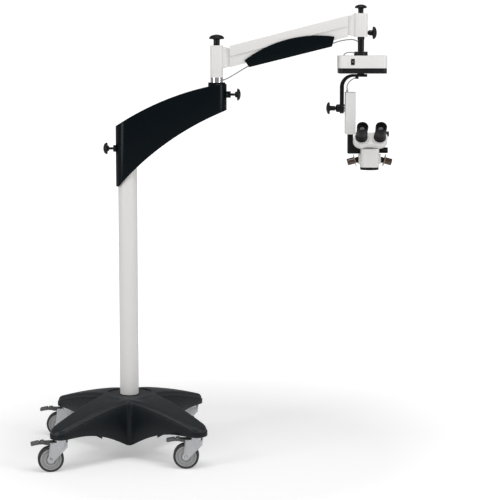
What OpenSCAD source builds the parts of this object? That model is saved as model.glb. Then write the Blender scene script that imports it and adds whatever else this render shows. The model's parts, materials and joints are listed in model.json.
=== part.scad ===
// Stereo microscope hung from a spring arm on a wheeled floor stand.
// Millimetres, +Z up, floor at z = 0. X runs along the arm, the eyepieces face -Y.

/* [Stand] */
// Where the column stands, from the middle of the footprint
column_x = -332; // [-340:1:-324]
// Outer diameter of the column tube
column_d = 75; // [70:1:76]
// Turn of the four-legged base about the column, in degrees
base_turn = 4; // [0:1:8]
// Column axis to each castor's swivel axis
leg_reach = 368; // [360:1:380]
// Radius of the rounded end of a leg
leg_end_r = 43; // [40:1:46]
// Depth of the notch between two legs, from the column axis
notch_depth = 111; // [105:1:115]
// Height of the top of the base at the column
base_top = 236; // [230:1:240]
// Height of the upper cover's rim
cap_rim = 17; // [14:1:20]
// Diameter of a castor wheel
wheel_d = 100; // [96:1:100]
// Height of a castor, floor to mounting face
castor_h = 128; // [126:1:130]
// How far a castor wheel trails behind its swivel axis
castor_trail = 40; // [36:1:42]

/* [Swing arm] */
// Column axis to the second swivel axis
swing_len = 354; // [350:1:358]
// Radius of the cover round the column
hub_r = 46; // [44:1:48]
// Radius of the cover round the second swivel
nose_r = 39; // [37:1:41]

/* [Spring arm] */
// Distance between the pivots of a link
link_len = 505; // [500:1:508]
// Slope of the arm as it stands, in degrees
arm_slope = 14.4; // [13:0.1:16]
// Vertical distance between the upper and the lower pivots
pivot_gap = 44; // [42:1:46]
// Height of the middle of the arm at its first pivots
arm_z = 1583; // [1580:1:1586]
// Width of the arm
arm_w = 70; // [66:1:72]

/* [Microscope] */
// Height of the tilt axis
tilt_z = 1383.5; // [1380:0.5:1387]
// Distance between the eyepieces
eye_gap = 72; // [71:1:74]
// Pitch of the eyepieces above level, in degrees
eye_pitch = 35; // [34:1:36]
// Diameter of the focus ring round the objective
focus_d = 73; // [70:1:74]

/* [Hidden] */
$fn = 72;
e = 0.01;
fit = 0.05; // running clearance on a radius
gap = 0.4;  // clearance between faces that turn past each other

// Paint and plastic colours
paint = [0.85, 0.84, 0.83];
black = [0.06, 0.07, 0.08];
charcoal = [0.15, 0.17, 0.19];
sail_blue = [0.03, 0.06, 0.08];
steel = [0.70, 0.71, 0.72];
smoke = [0.30, 0.20, 0.12];

// --- Helpers -------------------------------------------------------------

// The stand's own frame has X = 0 on the column axis
module stand() translate([column_x, 0, 0]) children();

// A cylinder along X or along Y
module bar_x(x0, x1, r, y, z) translate([x0, y, z]) rotate([0, 90, 0]) cylinder(h = x1 - x0, r = r);
module bar_y(y0, y1, r, x, z) translate([x, y0, z]) rotate([-90, 0, 0]) cylinder(h = y1 - y0, r = r);
module post(x, y, z0, z1, r) translate([x, y, z0]) cylinder(h = z1 - z0, r = r);
module block(x, y, z) translate([x[0], y[0], z[0]]) cube([x[1] - x[0], y[1] - y[0], z[1] - z[0]]);

// An X-Z outline given thickness along Y
module slab_y(y0, y1) translate([0, y1, 0]) rotate([90, 0, 0]) linear_extrude(y1 - y0) children();

// Rectangle with round corners, by its limits
module round_rect(x, y, r) {
    translate([x[0] + r, y[0]]) square([x[1] - x[0] - 2 * r, y[1] - y[0]]);
    translate([x[0], y[0] + r]) square([x[1] - x[0], y[1] - y[0] - 2 * r]);
    for (cx = [x[0] + r, x[1] - r], cy = [y[0] + r, y[1] - r]) translate([cx, cy]) circle(r);
}

// Two circles on the X axis with straight sides that lie a hair inside their common tangents
module tapered_slot(r1, x2, r2) {
    inside = 0.15;
    s = (r1 - r2) / x2;
    c = sqrt(1 - s * s);
    a = r1 - inside;
    b = r2 - inside;
    circle(r1);
    translate([x2, 0]) circle(r2);
    polygon([[a * s, a * c], [x2 + b * s, b * c], [x2 + b * s, -b * c], [a * s, -a * c]]);
}

// Mushroom clamping knob on the Z axis: a domed disc on a neck, with a screw below
module mushroom(disc_d, disc_h, neck_d, neck_h, screw_r, screw_h) {
    lip = disc_h * 0.3;
    rise = disc_h - lip;
    dome_r = (disc_d * disc_d / 4 + rise * rise) / (2 * rise);
    rotate_extrude() {
        square([neck_d / 2, neck_h + e]);
        intersection() {
            translate([0, neck_h]) square([disc_d / 2, disc_h]);
            translate([0, neck_h + disc_h - dome_r]) circle(dome_r, $fn = 144);
        }
        translate([0, -screw_h]) square([screw_r, screw_h + e]);
    }
}

// Flexible lead: a tube swept along a smoothed route that lies near an X-Z plane
function between(a, b, c, d, t) = 0.5 * (2 * b + (c - a) * t + (2 * a - 5 * b + 4 * c - d) * t * t
    + (3 * b - a - 3 * c + d) * t * t * t);
function smooth(p, n) = [
    for (i = [0 : len(p) - 2], k = [0 : n - 1])
        between(p[max(i - 1, 0)], p[i], p[i + 1], p[min(i + 2, len(p) - 1)], k / n),
    p[len(p) - 1]
];
function unit(v) = v / norm(v);
module lead(route, r, steps = 2, sides = 8) {
    p = smooth(route, steps);
    last = len(p) - 1;
    rings = [
        for (i = [0 : last])
            let (t = unit(p[min(i + 1, last)] - p[max(i - 1, 0)]), u = unit(cross(t, [0, 1, 0])),
                v = cross(t, u))
            for (k = [0 : sides - 1])
                p[i] + r * cos(360 * k / sides) * u + r * sin(360 * k / sides) * v
    ];
    walls = [
        for (i = [0 : last - 1], k = [0 : sides - 1])
            let (a = i * sides + k, b = i * sides + (k + 1) % sides)
            each [[a, b, b + sides], [a, b + sides, a + sides]]
    ];
    polyhedron(rings, concat(walls, [[for (k = [sides - 1 : -1 : 0]) k]],
        [[for (k = [0 : sides - 1]) last * sides + k]]));
}

// --- Base and column -----------------------------------------------------

leg_taper = asin((notch_depth * sin(45) - leg_end_r) / (leg_reach - notch_depth * cos(45)));
notch_angle = 45 + leg_taper;
notch_fillet = 19;

// Plan of the four-legged base, drawn in by a distance d
module base_plan(d = 0) {
    root_w = notch_depth * sin(45) + notch_depth * cos(45) * tan(leg_taper) - d / cos(leg_taper);
    end_r = leg_end_r - d;
    side_r = end_r - 0.15;
    corner = notch_depth - d / sin(notch_angle);
    fil = notch_fillet + d;
    tangent = fil / tan(notch_angle);
    rotate(base_turn) for (k = [0 : 3]) rotate(90 * k) {
        rotate(45) {
            polygon([
                [0, -root_w], [leg_reach + side_r * sin(leg_taper), -side_r * cos(leg_taper)],
                [leg_reach + side_r * sin(leg_taper), side_r * cos(leg_taper)], [0, root_w]
            ]);
            translate([leg_reach, 0]) circle(end_r);
        }
        difference() {
            polygon([
                [corner - 5, 0], [corner, -e],
                [corner + tangent * cos(notch_angle), -tangent * sin(notch_angle)],
                [corner + fil / sin(notch_angle), 0],
                [corner + tangent * cos(notch_angle), tangent * sin(notch_angle)], [corner, e]
            ]);
            translate([corner + fil / sin(notch_angle), 0]) circle(fil);
        }
    }
}

// Half section of the space under the domed top, lowered by a distance d
flat_r = 80;
knee_r = 165;
crown_r = 430;
brow_r = 2000;
rim_reach = 440; // the section ends here, past the leg tips
knee_slope = asin((knee_r - flat_r) / crown_r);
module under_top(d) {
    z0 = base_top - d;
    knee_drop = crown_r * (1 - cos(knee_slope));
    square([flat_r + e, z0]);
    intersection() {
        translate([flat_r, 0]) square([knee_r - flat_r + e, z0]);
        translate([flat_r, z0 - crown_r]) circle(crown_r, $fn = 360);
    }
    intersection() {
        translate([knee_r, 0]) square([rim_reach - knee_r, z0]);
        translate([
            knee_r - brow_r * sin(knee_slope), z0 - knee_drop - brow_r * cos(knee_slope)
        ]) circle(brow_r, $fn = 360);
    }
}

module base_dome(d) rotate_extrude($fn = 180) under_top(d);
module base_prism(d) linear_extrude(base_top + 1) base_plan(d);

// The arch under the skirt, between the hub and the leg ends
arch_r = 350;
arch_x = 330;
arch_top = castor_h + 2;
module arch() rotate_extrude($fn = 180) {
    intersection() {
        translate([arch_x, arch_top - arch_r]) circle(arch_r, $fn = 360);
        square([arch_x, arch_top]);
    }
    translate([arch_x - e, -1]) square([120, arch_top + 1]);
}

module base_cover() color(charcoal) stand() difference() {
    intersection() { base_prism(4); base_dome(0); }
    intersection() { translate([0, 0, -1]) base_prism(8); base_dome(4); }
    base_dome(cap_rim);
    post(0, 0, 100, 300, column_d / 2 + 0.3);
}

module base_skirt() color(charcoal) stand() difference() {
    intersection() { base_prism(0); base_dome(cap_rim); }
    translate([0, 0, -1]) base_prism(6);
    arch();
    inlet_body(0.2);
}

// Cast-iron cross that carries the column, weights the stand and holds the castors
socket_r = 52;
plate_t = 24;
plate_r = 380;
module base_frame() color([0.25, 0.25, 0.26]) stand() difference() {
    union() {
        intersection() {
            translate([0, 0, castor_h]) linear_extrude(plate_t) base_plan(7);
            post(0, 0, castor_h - 1, castor_h + plate_t + 1, plate_r);
        }
        post(0, 0, castor_h, 196, 92);
        post(0, 0, castor_h, 226, socket_r);
    }
    post(0, 0, 150, 240, column_d / 2);
    for (k = [0 : 3]) rotate(base_turn + 45 + 90 * k) translate([leg_reach, 0, 0])
        post(0, 0, 100, 200, stem_r + fit);
    inlet_body(1);
    rotate(base_turn) block([-16, 16], [110, 130], [135, 163]);
}

spindle_r = 18;
column_top = 1200;
module column_tube() color(paint) stand() difference() {
    post(0, 0, 150, column_top, column_d / 2);
    post(0, 0, 149, column_top + 1, column_d / 2 - 4);
}

module column_spindle() color(steel) stand() {
    post(0, 0, column_top - 60, column_top, column_d / 2 - 4);
    post(0, 0, column_top - 1, column_top + 100, spindle_r);
    post(0, 0, column_top + 100 - e, column_top + 106, spindle_r + 6);
}

// Mains inlet in the notch behind the column
module inlet_body(c = 0) rotate(base_turn)
    block([-15 - c, 15 + c], [86 - c, 117 + c], [136 - c, 162 + c]);
module mains_inlet() color(black) stand() difference() {
    inlet_body();
    rotate(base_turn) {
        block([-12, 12], [101, 118], [140.5, 157.5]);
        for (x = [-7, 0, 7]) block([x - 1, x + 1], [95, 102], [145, 153]);
    }
}

// --- Castors -------------------------------------------------------------

stem_r = 7;
axle_r = 5;
tread_w = 32;
cheek_in = 18.5;
cheek_out = 21.5;
pedal_x = -34;
pedal_z = 112;
castor_yaw = [10, 0, 0, 0];

// Castor k stands under leg k: 1 front left, 2 front right, 3 back right, 4 back left
module at_castor(k) stand() rotate(base_turn - 135 + 90 * (k - 1)) translate([leg_reach, 0, 0])
    rotate(castor_yaw[k - 1] - base_turn + 135 - 90 * (k - 1)) children();

module castor_fork(k) color(steel) at_castor(k) {
    post(0, 0, castor_h - 12, castor_h - gap, 27);
    post(0, 0, castor_h - 12, castor_h + 22, stem_r);
    block([-24, 24], [-cheek_out, cheek_out], [105, castor_h - 11]);
    for (side = [-1, 1]) difference() {
        slab_y(side > 0 ? cheek_in : -cheek_out, side > 0 ? cheek_out : -cheek_in) {
            polygon([[24, 117], [24, 97], [-29, 42], [-51, 42], [-43, 117]]);
            translate([-castor_trail, wheel_d / 2]) circle(14);
        }
    }
    bar_y(-cheek_out - 4, cheek_out + 4, axle_r, -castor_trail, wheel_d / 2);
    bar_y(-cheek_out - 3, cheek_out + 3, 3, pedal_x, pedal_z);
}

module castor_wheel(k) color([0.3, 0.3, 0.31]) at_castor(k)
    translate([-castor_trail, 0, wheel_d / 2]) rotate([90, 0, 0]) difference() {
        rotate_extrude($fn = 96) difference() {
            translate([0, -tread_w / 2]) intersection() {
                square([wheel_d / 2, tread_w]);
                translate([0, -1]) union() {
                    square([wheel_d / 2 - 4, tread_w + 2]);
                    translate([0, 5]) square([wheel_d / 2, tread_w - 8]);
                    for (z = [5, tread_w - 3]) translate([wheel_d / 2 - 4, z]) circle(4);
                }
            }
            for (s = [-1, 1]) translate([16, s > 0 ? tread_w / 2 - 4 : -tread_w / 2 - 1])
                square([20, 5]);
        }
        translate([0, 0, -tread_w]) cylinder(h = 2 * tread_w, r = axle_r + fit);
    }

module castor_brake(k) color([0.2, 0.2, 0.21]) at_castor(k) difference() {
    slab_y(-16, 16) {
        translate([pedal_x, pedal_z]) circle(6.5);
        polygon([
            [pedal_x, 118.5], [-72, 119], [-110, 112], [-110, 107], [-74, 112], [-60, 108],
            [pedal_x, 105.5]
        ]);
    }
    bar_y(-20, 20, 3 + fit, pedal_x, pedal_z);
}

// --- Swing arm -----------------------------------------------------------

// Side outline between two arcs, drawn in by a distance d
top_arc = [556.6, 401.6, 1092.5];
bottom_arc = [805.1, 340.2, 1115.4];
module sail_side(d = 0) difference() {
    intersection() {
        translate([top_arc[0], top_arc[1]]) circle(top_arc[2] - d, $fn = 360);
        translate([-60, 1040 + d]) square([480, 439 - 2 * d]);
    }
    translate([bottom_arc[0], bottom_arc[1]]) circle(bottom_arc[2] + d, $fn = 360);
    translate([-60, 1000]) square([60, 75 + d]);
}
module sail_body(d = 0) intersection() {
    slab_y(-60, 60) sail_side(d);
    translate([0, 0, 1000]) linear_extrude(600) tapered_slot(hub_r - d, swing_len, nose_r - d);
}

nose_pin_r = 16;
rear_knob_z = 1224.6;
front_knob_z = 1437.3;
nose_top = 1484.6;
module swing_cover() color(sail_blue) stand() difference() {
    union() {
        difference() {
            sail_body();
            sail_body(3);
        }
        post(swing_len, 0, 1462.5, nose_top, 34);
        bar_x(-55.4, -hub_r + 3.5, 13.5, 0, rear_knob_z);
        bar_x(swing_len + nose_r - 3.5, 409.3, 13, 0, front_knob_z);
    }
    post(0, 0, 1000, column_top, column_d / 2 + 1.5);
    post(swing_len, 0, 1455, nose_top + 1, nose_pin_r + 1);
    bar_x(-60, -40, 5.2, 0, rear_knob_z);
    bar_x(380, 420, 5.2, 0, front_knob_z);
}

module swing_beam() color([0.55, 0.56, 0.57]) stand() difference() {
    union() {
        slab_y(-20, 20) polygon([
            [0, column_top + 3], [swing_len, 1396], [swing_len, 1460], [0, column_top + 94]
        ]);
        post(0, 0, column_top + 2, column_top + 96, 30);
        post(0, 0, column_top + 50, column_top + 60, hub_r - 3.3);
        post(swing_len, 0, 1394, 1461, 28);
        post(swing_len, 0, 1420, 1430, nose_r - 3.3);
    }
    post(0, 0, column_top + 98, column_top + 200, spindle_r + 7);
    post(0, 0, column_top - 1, column_top + 200, spindle_r + fit);
    post(swing_len, 0, 1380, 1480, nose_pin_r + fit);
    bar_x(-50, 0, 5 + fit, 0, rear_knob_z);
    bar_x(swing_len, 400, 5 + fit, 0, front_knob_z);
}

// Clamping knobs of the two swivels
module swing_knob_rear() color(black) stand() translate([-72.6, 0, rear_knob_z])
    rotate([0, -90, 0]) mushroom(47, 16.8, 22, 6.1, 5, 72.6 - spindle_r - 1);
module swing_knob_front() color(black) stand() translate([425.8, 0, front_knob_z])
    rotate([0, 90, 0]) mushroom(48, 15, 22, 8, 5, 425.8 - swing_len - nose_pin_r - 1);

// --- First arm bracket ---------------------------------------------------

pivot_r = 5;
pivot_1_x = 392;
pivot_2_x = pivot_1_x + link_len * cos(arm_slope);
arm_rise = link_len * sin(arm_slope);
ear_out = 26;
ear_in = 21;
ear_r = 17;
cheek_half = 42;
post_y = 36;

// Cheeks that hold one end of both links: they reach from the post at post_x to the pivots at x
module cheeks(x, z, post_x) {
    near = x + (post_x > x ? 3 : -3);
    waist = ear_r - 0.3;
    for (side = [-1, 1]) slab_y(side > 0 ? ear_in : -ear_out, side > 0 ? ear_out : -ear_in) {
        for (s = [-1, 1]) translate([x, z + s * pivot_gap / 2]) circle(ear_r);
        translate([x - waist, z - pivot_gap / 2]) square([2 * waist, pivot_gap]);
        translate([min(near, post_x), z - cheek_half])
            square([abs(post_x - near), 2 * cheek_half]);
    }
}

module pivot_pins(x, z) for (s = [-1, 1]) bar_y(-ear_out, ear_out, pivot_r, x, z + s * pivot_gap / 2);

module bracket_1() color(paint) stand() difference() {
    union() {
        translate([0, 0, 1504.7]) linear_extrude(1630 - 1504.7)
            round_rect([329.5, 378], [-post_y, post_y], 12);
        cheeks(pivot_1_x, arm_z, 370);
    }
    translate([0, 0, 1512]) linear_extrude(1624 - 1512)
        round_rect([333.5, 390], [-ear_in, ear_in], 4);
    pivot_pins(pivot_1_x, arm_z);
    post(swing_len, 0, 1500, 1520, nose_pin_r);
    post(swing_len, 0, 1600, 1640, 4 + fit);
}

module bracket_1_collar() color([0.8, 0.8, 0.8]) stand() {
    post(swing_len, 0, 1485.4, 1504.7, 24.5);
    post(swing_len, 0, 1400, 1520, nose_pin_r);
}

module bracket_1_pins() color(steel) stand() pivot_pins(pivot_1_x, arm_z);

module bracket_1_knob() color(black) stand() translate([swing_len, 0, 1630.3])
    mushroom(60, 18.5, 25, 24, 4, 24);

// --- Spring arm ----------------------------------------------------------

link_wall = 3;
shell_1_x = 405;
shell_2_x = pivot_2_x - 13;
half_h = 40.6;     // half the arm's thickness, square to its length
nest = 0.6;        // side clearance between the nested links

// The arm's own frame: along the arm from the middle of the first bracket's pivots
module along_arm() translate([pivot_1_x, 0, arm_z]) rotate([0, -arm_slope, 0]) children();

// Everything of a link between its two upright ends
module between_ends() intersection() {
    block([shell_1_x, shell_2_x], [-60, 60], [1400, 1900]);
    along_arm() children();
}

// End ears of a link: up = 1 for the upper link and -1 for the lower one
module link_ears(up, far_clearance) {
    ear_y = ear_in - 1;
    difference() {
        union() {
            for (x = [pivot_1_x, pivot_2_x])
                bar_y(-ear_y, ear_y, 12.5, x, link_end_z(x) + up * pivot_gap / 2);
            intersection() {
                block([pivot_1_x, pivot_1_x + 50], [-ear_y, ear_y], [1400, 1900]);
                along_arm() link_web(up, ear_y - 1);
            }
            intersection() {
                block([pivot_2_x - 50, pivot_2_x], [-ear_y, ear_y], [1400, 1900]);
                along_arm() link_web(up, ear_y - 1);
            }
        }
        bar_y(-40, 40, pivot_r + fit, pivot_1_x, link_end_z(pivot_1_x) + up * pivot_gap / 2);
        bar_y(-40, 40, pivot_r + far_clearance, pivot_2_x,
            link_end_z(pivot_2_x) + up * pivot_gap / 2);
    }
}
function link_end_z(x) = arm_z + (x - pivot_1_x) * tan(arm_slope);
module link_web(up, ear_y) {
    s = pivot_gap / 2 * cos(arm_slope);
    block([-40, link_len + 40], [-ear_y, ear_y], up > 0 ? [s - 9, s + 9] : [-s - 9, -s + 9]);
}
// Stiffeners that tie the ears to the shell just inside its ends
module link_ties(up, half_w) {
    s = pivot_gap / 2 * cos(arm_slope);
    for (x = [32, link_len - 40])
        block([x, x + 8], [-half_w, half_w], up > 0 ? [s - 9, half_h - 1] : [1 - half_h, -s + 9]);
}

module upper_link() color(paint) stand() {
    w = arm_w / 2;
    between_ends() difference() {
        block([-60, link_len + 60], [-w, w], [0, half_h]);
        block([-61, link_len + 61], [-w + link_wall, w - link_wall], [-1, half_h - link_wall]);
    }
    along_arm() link_ties(1, w - link_wall - 4.5);
    link_ears(1, 0.3);
}

lower_w = arm_w / 2 - link_wall - nest;
rod_x = [42, link_len - 42];
rod_r = 4;
rod_z = -21;
module lower_link() color(paint) stand() difference() {
    union() {
        between_ends() difference() {
            block([-60, link_len + 60], [-lower_w, lower_w], [-half_h, 8]);
            block([-61, link_len + 61], [-lower_w + link_wall, lower_w - link_wall],
                [-half_h + link_wall, 9]);
        }
        along_arm() link_ties(-1, lower_w - link_wall + e);
        link_ears(-1, fit);
    }
    along_arm() bar_x(rod_x[0], rod_x[1], rod_r, 0, rod_z);
}

// Black cover under the arm that takes the leads and serves as a grip
grip_arc = [750, 1196, 473];
grip_out = 39;
grip_in = arm_w / 2 + 0.8;
module grip_side() intersection() {
    translate([grip_arc[0], grip_arc[1]]) circle(grip_arc[2], $fn = 240);
    polygon([[455, 1583], [482, 1545], [805.4, 1625.5], [815, 1663], [806, 1672], [600, 1672]]);
}
module cable_cover() color(sail_blue) stand() {
    difference() {
        slab_y(-grip_out, grip_out) grip_side();
        along_arm() block([-60, link_len + 60], [-grip_in, grip_in], [-half_h, 80]);
        along_arm() block([110, 410], [-grip_in + 6, grip_in - 6], [-half_h - 14, 0]);
    }
    along_arm() for (x = [150, 330], side = [-1, 1])
        block([x, x + 24], side > 0 ? [lower_w, grip_in + e] : [-grip_in - e, -lower_w], [-34, -15]);
}

// Balance spring on its rod, inside the lower link
module balance_spring() color(steel) stand() along_arm() {
    bar_x(rod_x[0] + 0.2, rod_x[1] - 0.2, rod_r, 0, rod_z);
    difference() {
        bar_x(60, 330, 12, 0, rod_z);
        bar_x(59, 331, 9, 0, rod_z);
    }
    bar_x(330 - e, 338, 12, 0, rod_z);
    bar_x(52, 60 + e, 12, 0, rod_z);
}

lead_r = 2.4;
arm_lead_1 = [[378.6, -8, 1494.5], [388, -8, 1497.5], [400, -8, 1503], [416, -8, 1512],
    [436, -8, 1524], [456, -8, 1536], [470, -8, 1544.5], [480.5, -8, 1550]];
arm_lead_2 = [[807.5, -8, 1637], [820, -8, 1641.5], [834, -8, 1646], [852, -8, 1650],
    [870, -8, 1652.5], [886, -8, 1653], [898, -8, 1650.5], [904, -8, 1647.5], [908.4, -8, 1644.5]];
module arm_leads() color([0.45, 0.45, 0.46]) stand() {
    lead(arm_lead_1, lead_r);
    lead(arm_lead_2, lead_r);
}

// --- Second arm bracket --------------------------------------------------

drop_x = 920.8;    // axis of the spindle that carries the light unit and the microscope
arm_end_z = arm_z + arm_rise;
bracket_2_top = 1755.1;
bracket_2_low = 1663.6;
side_knob_z = 1679.3;

module bracket_2() color(paint) stand() difference() {
    union() {
        translate([0, 0, bracket_2_low]) linear_extrude(bracket_2_top - bracket_2_low)
            round_rect([894.5, 944.7], [-post_y, post_y], 12);
        cheeks(pivot_2_x, arm_end_z, 900);
    }
    translate([0, 0, 1702]) linear_extrude(47)
        round_rect([870, 940.7], [-ear_in, ear_in], 4);
    block([860, 899], [-ear_in, ear_in], [bracket_2_low - 5, 1703]);
    pivot_pins(pivot_2_x, arm_end_z);
    post(drop_x, 0, 1650, 1704, sleeve_r);
    post(919.4, 0, 1740, 1760, 4 + fit);
    bar_x(930, 950, 4 + fit, 0, side_knob_z);
}

module bracket_2_pins() color(steel) stand() pivot_pins(pivot_2_x, arm_end_z);

module bracket_2_knob() color(black) stand() translate([919.4, 0, bracket_2_top + 0.3])
    mushroom(48, 15, 21, 19.6, 4, 20);

module side_knob() color(black) stand() translate([951.9, 0, side_knob_z]) rotate([0, 90, 0]) {
    mushroom(50, 16.1, 21, 14.8, 4, 951.9 - drop_x - drop_pin_r - 0.8);
    translate([0, 0, -6.5]) rotate_extrude() polygon([[0, 0], [4.2, 0], [10.5, 6.6], [0, 6.6]]);
}

sleeve_r = 12.5;
drop_pin_r = 9;
flange_top = 1605.9;
module spindle_sleeve() color(black) stand() difference() {
    union() {
        post(drop_x, 0, flange_top + gap, 1690, sleeve_r);
        post(drop_x, 0, 1653.2, bracket_2_low, 13.9);
    }
    post(drop_x, 0, 1600, 1700, drop_pin_r + fit);
    bar_x(drop_x, 950, 4 + fit, 0, side_knob_z);
}

// --- Light and power unit ------------------------------------------------

case_x = [831.1, 1020.1];
case_y = 70;
case_z = [1541.8, 1590.2];
corner_r = 18;
switch_at = [884.9, 1566.2];
module light_case() color(paint) stand() difference() {
    translate([0, 0, case_z[0]]) linear_extrude(case_z[1] - case_z[0])
        round_rect(case_x, [-case_y, case_y], corner_r);
    translate([0, 0, case_z[0] - 1]) linear_extrude(case_z[1] - case_z[0] - 1.5)
        round_rect([case_x[0] + 2.5, case_x[1] - 2.5], [2.5 - case_y, case_y - 2.5], corner_r - 2.5);
    post(drop_x, 0, 1580, 1600, drop_pin_r);
    block([switch_at[0] - 6.6, switch_at[0] + 6.6], [-case_y - 1, -case_y + 4],
        [switch_at[1] - 10.2, switch_at[1] + 10.2]);
}

module light_base() color(black) stand() difference() {
    union() {
        translate([0, 0, 1520.8]) linear_extrude(20)
            round_rect([case_x[0] + 1, case_x[1] - 1], [1 - case_y, case_y - 1], corner_r - 1);
        translate([0, 0, 1538]) linear_extrude(7.8)
            round_rect([case_x[0] + 2.5, case_x[1] - 2.5], [2.5 - case_y, case_y - 2.5], corner_r - 2.5);
        post(drop_x, 0, 1545, 1560, 20);
    }
    difference() {
        translate([0, 0, 1524]) linear_extrude(30)
            round_rect([case_x[0] + 5, case_x[1] - 5], [5 - case_y, case_y - 5], corner_r - 5);
        post(drop_x, 0, 1520, 1560, 20);
    }
    post(drop_x, 0, 1515, 1552, carrier_pin_r + fit);
}

// Rocker of the switch on the front
module light_switch() color([0.1, 0.1, 0.1]) stand()
    translate([switch_at[0], -case_y - 0.8, switch_at[1]]) rotate([0, 90, 0])
        translate([0, 0, -5.2]) linear_extrude(10.4) difference() {
            translate([0, 6]) circle(8.8);
            translate([-10, 8.5]) square([20, 10]);
        }

module light_spindle() color(black) stand() {
    post(drop_x, 0, case_z[1], flange_top, 26.9);
    post(drop_x, 0, case_z[1] - 12, 1700, drop_pin_r);
    post(drop_x, 0, case_z[1] - 12, case_z[1] - 2.5, 20);
    post(drop_x, 0, 1690.4, 1694, 11.5);
}

// Lamp board with its heat sink fins, inside the case
module lamp_module() color([0.2, 0.4, 0.3]) stand() {
    block([950, 1006], [-52, 52], [1545.8, 1548]);
    for (x = [956 : 8 : 1000]) block([x, x + 3], [-40, 40], [1547, 1572]);
}

light_lead_route = [[897.5, -12, 1600.5], [886, -12, 1602.5], [874, -12, 1603], [864, -12, 1601.5],
    [857, -12, 1597.5], [852, -12, 1590.2]];
module light_lead() color([0.4, 0.4, 0.41]) stand() lead(light_lead_route, lead_r);

// --- Carrier -------------------------------------------------------------

carrier_pin_r = 8;
limb_x = [839.5, 854.5];
limb_w = 17;
bar_z = [1507.1, 1517.6];
bend_out = 52;
bend_in = 38.6;
boss_r = 21;
knuckle_x = 821;
shaft_r = 8;
module carrier_arm() color(black) stand() difference() {
    union() {
        slab_y(-limb_w, limb_w) {
            translate([limb_x[0] + bend_out, bar_z[0]])
                square([945.5 - limb_x[0] - bend_out, bar_z[1] - bar_z[0]]);
            intersection() {
                translate([limb_x[0] + bend_out, bar_z[1] - bend_out]) circle(bend_out);
                difference() {
                    translate([limb_x[0], bar_z[1] - bend_out]) square([bend_out, bend_out]);
                    translate([limb_x[1] + bend_in, bar_z[0] - bend_in]) circle(bend_in);
                    translate([limb_x[1], 1400]) square([80, bar_z[0] - bend_in - 1400]);
                }
            }
            translate([limb_x[0], tilt_z]) square([15, bar_z[1] - bend_out - tilt_z]);
        }
        bar_x(limb_x[0], limb_x[1], boss_r, 0, tilt_z);
        translate([limb_x[0] + e, 0, tilt_z]) rotate([0, -90, 0]) rotate_extrude()
            intersection() {
                square([15.6, limb_x[0] - knuckle_x]);
                translate([0, -4]) circle(22.6);
            }
        post(drop_x, 0, bar_z[0], 1520.4, 14);
        post(drop_x, 0, bar_z[0], 1551, carrier_pin_r);
        block([900, 912], [-8, 8], [1499, bar_z[0] + 1]);
    }
    bar_x(824, 870, shaft_r + fit, 0, tilt_z);
    bar_x(810, 830, 4 + fit, 0, tilt_z);
}

module tilt_knob() color(black) stand() translate([knuckle_x - 0.4, 0, tilt_z])
    rotate([0, -90, 0]) mushroom(48.6, 14.1, 19, 21.2, 4, 2.8);

plug_x = 868.2;
optics_lead_route = [[plug_x, 0, 1458.6], [867, 0, 1466], [869, -1, 1476], [874, -2, 1485],
    [883, -2, 1493.5], [892, -1, 1499.5], [900.3, 0, 1502.5]];
module optics_lead() color([0.6, 0.6, 0.6]) stand() lead(optics_lead_route, 2);

// --- Tilting body --------------------------------------------------------

house_x = [860, 900.5];
house_y = 30;
house_z = [1281.6, 1446.9];
module tilt_housing() color(paint) stand() {
    difference() {
        translate([0, 0, house_z[0]]) linear_extrude(house_z[1] - house_z[0])
            round_rect(house_x, [-house_y, house_y], 5);
        translate([0, 0, house_z[0] + 3]) linear_extrude(house_z[1] - house_z[0] - 6)
            round_rect([house_x[0] + 3, house_x[1] - 3], [3 - house_y, house_y - 3], 2);
        bar_x(855, 880, shaft_r, 0, tilt_z);
    }
    block([plug_x - 4.2, plug_x + 4.2], [-6, 6], [house_z[1] - 1, 1458]);
}

module tilt_shaft() color(steel) stand() {
    bar_x(824.4, 897.5, shaft_r, 0, tilt_z);
    bar_x(854.9, 860, 15, 0, tilt_z);
}

body_x = [919.5, 990.5];
module optics_bracket() color(black) stand() slab_y(-22, 22) difference() {
    translate([870.8, 1205]) square([body_x[0] - 870.8, house_z[0] - 1205]);
    translate([891.3, 1252]) square([60, 60]);
}

// --- Optics --------------------------------------------------------------

lens_x = 955;
head_y = -35;      // the optical axis stands this far in front of the tilt axis
body_half = 42;
body_z = [1155.2, 1227];
hinge_y = head_y + 12;
hinge_z = 1248.5;
boss_half = 15.5;
hinge_pin_r = 5;
hub_z = 1182;
hub_x = [body_x[0] - 8, body_x[1] + 8];
zoom_z = 1220;
module optics_body() color(paint) stand() difference() {
    union() {
        translate([0, 0, body_z[0]]) linear_extrude(body_z[1] - body_z[0])
            round_rect(body_x, [head_y - body_half, head_y + body_half], 14);
        bar_x(lens_x - boss_half, lens_x + boss_half, 20, hinge_y, hinge_z);
        block([lens_x - boss_half, lens_x + boss_half], [hinge_y - 16, hinge_y + 16],
            [body_z[1] - 1, hinge_z]);
        for (x = [[hub_x[0], body_x[0] + 1], [body_x[1] - 1, hub_x[1]]])
            block(x, [head_y - 16, head_y + 16], [1166, 1204]);
    }
    post(lens_x, head_y, body_z[0] - 1, body_z[1] - 4, 30);
    bar_x(lens_x - 30, lens_x + 30, hinge_pin_r + fit, hinge_y, hinge_z);
    bar_x(lens_x, 1010, 4 + fit, head_y, zoom_z);
    bar_x(lens_x - 60, lens_x + 60, 6 + fit, head_y, hub_z);
}

module focus_ring() color(black) stand() difference() {
    post(lens_x, head_y, 1143.5, body_z[0] - gap, focus_d / 2);
    post(lens_x, head_y, 1142, 1147.5, 31);
    post(lens_x, head_y, 1142, body_z[0], 28.5);
}

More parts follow.
